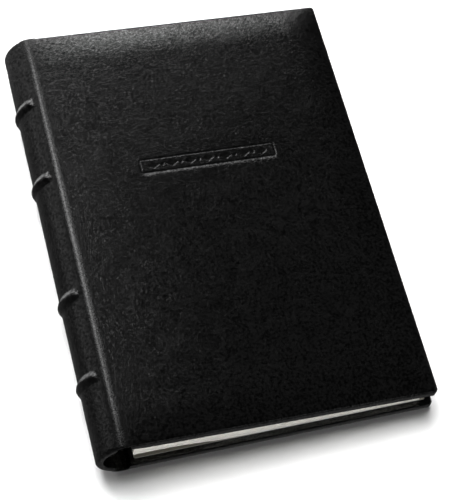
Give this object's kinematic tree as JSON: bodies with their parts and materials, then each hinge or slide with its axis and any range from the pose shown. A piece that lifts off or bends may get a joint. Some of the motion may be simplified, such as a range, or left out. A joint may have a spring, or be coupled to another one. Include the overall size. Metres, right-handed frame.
{
  "type": "ring-bound desk address book",
  "caption": "Padded leather desk address book with a round raised-band spine, ring-held leaves and tabbed dividers between hinged covers.",
  "frame": {"origin": "centre of the back cover's outer face, which rests on the desk", "axes": "+X from the spine to the fore edge, +Y from tail to head, +Z from the back cover to the front cover"},
  "size_m": [0.1654, 0.2222, 0.0318],
  "materials": {
    "leather": "black bonded leather, fine grain, soft sheen",
    "padding": "thin foam wadding",
    "board": "grey binder's board",
    "lining": "smooth off-white endpaper",
    "leaf_paper": "uncoated off-white writing paper",
    "divider_card": "ivory index card with laminated tabs",
    "ring_metal": "nickel-plated steel"
  },
  "bodies": {
    "back_cover": {"back_leather": "leather", "back_padding": "padding", "back_board": "board", "back_infill": "board", "back_lining": "lining"},
    "spine": {"spine_leather": "leather", "band_cores": "board", "spine_shell": "board", "spine_lining": "leather", "front_joint_leather": "leather", "rear_joint_leather": "leather", "ring_plate": "ring_metal", "mounting_rivets": "ring_metal", "spacer_sleeves": "ring_metal"},
    "front_cover": {"front_leather": "leather", "front_padding": "padding", "front_board": "board", "front_infill": "board", "front_lining": "lining"},
    "front_rings": {"front_blade": "ring_metal", "front_half_rings": "ring_metal"},
    "rear_rings": {"rear_blade": "ring_metal", "rear_half_rings": "ring_metal"},
    "head_trigger": {"head_trigger": "ring_metal"},
    "tail_trigger": {"tail_trigger": "ring_metal"},
    "front_leaves": {"leaf_pack_01": "leaf_paper", "leaf_pack_02": "leaf_paper", "leaf_pack_03": "leaf_paper", "leaf_pack_04": "leaf_paper", "divider_01": "divider_card", "divider_02": "divider_card", "divider_03": "divider_card", "divider_04": "divider_card"},
    "middle_leaves": {"leaf_pack_05": "leaf_paper", "leaf_pack_06": "leaf_paper", "leaf_pack_07": "leaf_paper", "leaf_pack_08": "leaf_paper", "divider_05": "divider_card", "divider_06": "divider_card", "divider_07": "divider_card", "divider_08": "divider_card"},
    "rear_leaves": {"leaf_pack_09": "leaf_paper", "leaf_pack_10": "leaf_paper", "leaf_pack_11": "leaf_paper", "leaf_pack_12": "leaf_paper", "leaf_pack_13": "leaf_paper", "divider_09": "divider_card", "divider_10": "divider_card", "divider_11": "divider_card", "divider_12": "divider_card"}
  },
  "joints": [
    {"name": "rear_hinge", "type": "hinge", "parent": "back_cover", "child": "spine", "pos_m": [-0.0762, 0, 0.001], "axis": [0, -1, 0], "range_deg": [0, 18]},
    {"name": "front_hinge", "type": "hinge", "parent": "spine", "child": "front_cover", "pos_m": [-0.0762, 0, 0.03075], "axis": [0, -1, 0], "range_deg": [0, 176]},
    {"name": "front_ring_opening", "type": "hinge", "parent": "spine", "child": "front_rings", "pos_m": [-0.0798, 0, 0.0199], "axis": [0, -1, 0], "range_deg": [0, 5]},
    {"name": "rear_ring_opening", "type": "hinge", "parent": "spine", "child": "rear_rings", "pos_m": [-0.0798, 0, 0.0109], "axis": [0, -1, 0], "range_deg": [-5, 0]},
    {"name": "head_trigger_tilt", "type": "hinge", "parent": "spine", "child": "head_trigger", "pos_m": [-0.0798, 0.0895, 0.0154], "axis": [0, 0, 1], "range_deg": [0, 10]},
    {"name": "tail_trigger_tilt", "type": "hinge", "parent": "spine", "child": "tail_trigger", "pos_m": [-0.0798, -0.0895, 0.0154], "axis": [0, 0, -1], "range_deg": [0, 10]},
    {"name": "front_leaves_turn", "type": "hinge", "parent": "spine", "child": "front_leaves", "pos_m": [-0.0697, 0, 0.0154], "axis": [0, -1, 0], "range_deg": [0, 77.44]},
    {"name": "middle_leaves_turn", "type": "hinge", "parent": "spine", "child": "middle_leaves", "pos_m": [-0.0697, 0, 0.0154], "axis": [0, -1, 0], "range_deg": [0, 38.72]},
    {"name": "rear_leaves_turn", "type": "hinge", "parent": "spine", "child": "rear_leaves", "pos_m": [-0.0697, 0, 0.0154], "axis": [0, -1, 0], "range_deg": [-18, 0]}
  ],
  "couplings": [
    {"joint": "rear_ring_opening", "follows": "front_ring_opening", "ratio": -1},
    {"joint": "head_trigger_tilt", "follows": "front_ring_opening", "ratio": 2},
    {"joint": "tail_trigger_tilt", "follows": "front_ring_opening", "ratio": 2},
    {"joint": "front_leaves_turn", "follows": "front_hinge", "ratio": 0.44},
    {"joint": "middle_leaves_turn", "follows": "front_hinge", "ratio": 0.22},
    {"joint": "rear_leaves_turn", "follows": "rear_hinge", "ratio": -1}
  ]
}
